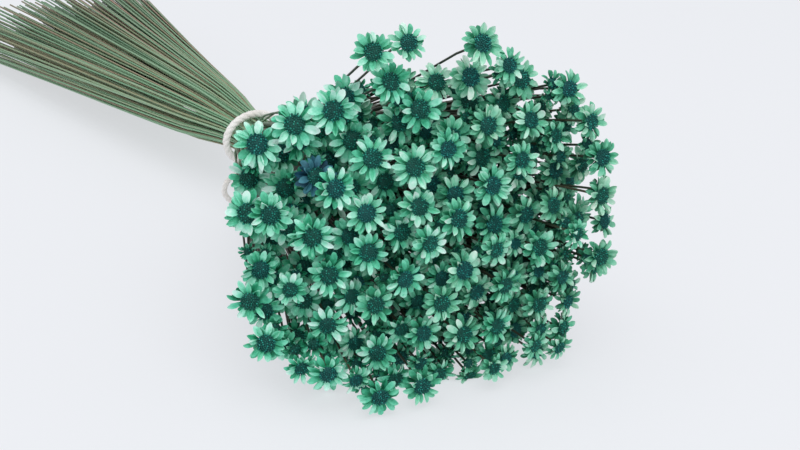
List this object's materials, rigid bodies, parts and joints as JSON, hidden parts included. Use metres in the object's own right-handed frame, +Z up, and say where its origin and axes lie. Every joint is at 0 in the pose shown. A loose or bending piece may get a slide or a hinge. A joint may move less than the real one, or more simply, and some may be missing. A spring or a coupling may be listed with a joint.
{
  "type": "dried glixia bunch",
  "caption": "Tied bunch of dried star-shaped glixia flowers on thin wiry stems, lying on a surface, dyed teal green, with a soft cream cord and a loose loop at the waist",
  "frame": {"origin": "on the surface that the bunch lies on, under the middle of its bounding box", "axes": "+Z up; +Y along the bunch from the flower heads to the cut stem ends; +X to the right as seen from the heads' side looking along +Y"},
  "size_m": [0.1316, 0.4502, 0.1272],
  "materials": {
    "dried_flowers": "dyed, dry and papery",
    "cotton_cord": "soft, matte"
  },
  "bodies": {
    "root": {"flower_stems_01": "dried_flowers", "flower_stems_02": "dried_flowers", "flower_stems_03": "dried_flowers", "flower_stems_04": "dried_flowers", "flower_stems_05": "dried_flowers", "flower_stems_06": "dried_flowers", "flower_stems_07": "dried_flowers", "flower_stems_08": "dried_flowers", "flower_stems_09": "dried_flowers", "flower_stems_10": "dried_flowers", "flower_stems_11": "dried_flowers", "flower_stems_12": "dried_flowers", "flower_stems_13": "dried_flowers", "flower_stems_14": "dried_flowers", "flower_stems_15": "dried_flowers", "flower_stems_16": "dried_flowers", "flower_stems_17": "dried_flowers", "flower_stems_18": "dried_flowers", "flower_stems_19": "dried_flowers", "flower_stems_20": "dried_flowers", "flower_stems_21": "dried_flowers", "flower_stems_22": "dried_flowers", "flower_stems_23": "dried_flowers", "flower_stems_24": "dried_flowers", "flower_stems_25": "dried_flowers", "flower_stems_26": "dried_flowers", "flower_stems_27": "dried_flowers", "flower_stems_28": "dried_flowers", "flower_stems_29": "dried_flowers", "flower_stems_30": "dried_flowers", "flower_stems_31": "dried_flowers", "flower_stems_32": "dried_flowers", "flower_stems_33": "dried_flowers", "flower_stems_34": "dried_flowers", "flower_stems_35": "dried_flowers", "flower_stems_36": "dried_flowers", "flower_stems_37": "dried_flowers", "flower_stems_38": "dried_flowers", "flower_stems_39": "dried_flowers", "flower_stems_40": "dried_flowers", "flower_stems_41": "dried_flowers", "flower_stems_42": "dried_flowers", "flower_stems_43": "dried_flowers", "flower_stems_44": "dried_flowers", "tie_cord": "cotton_cord"}
  },
  "joints": []
}
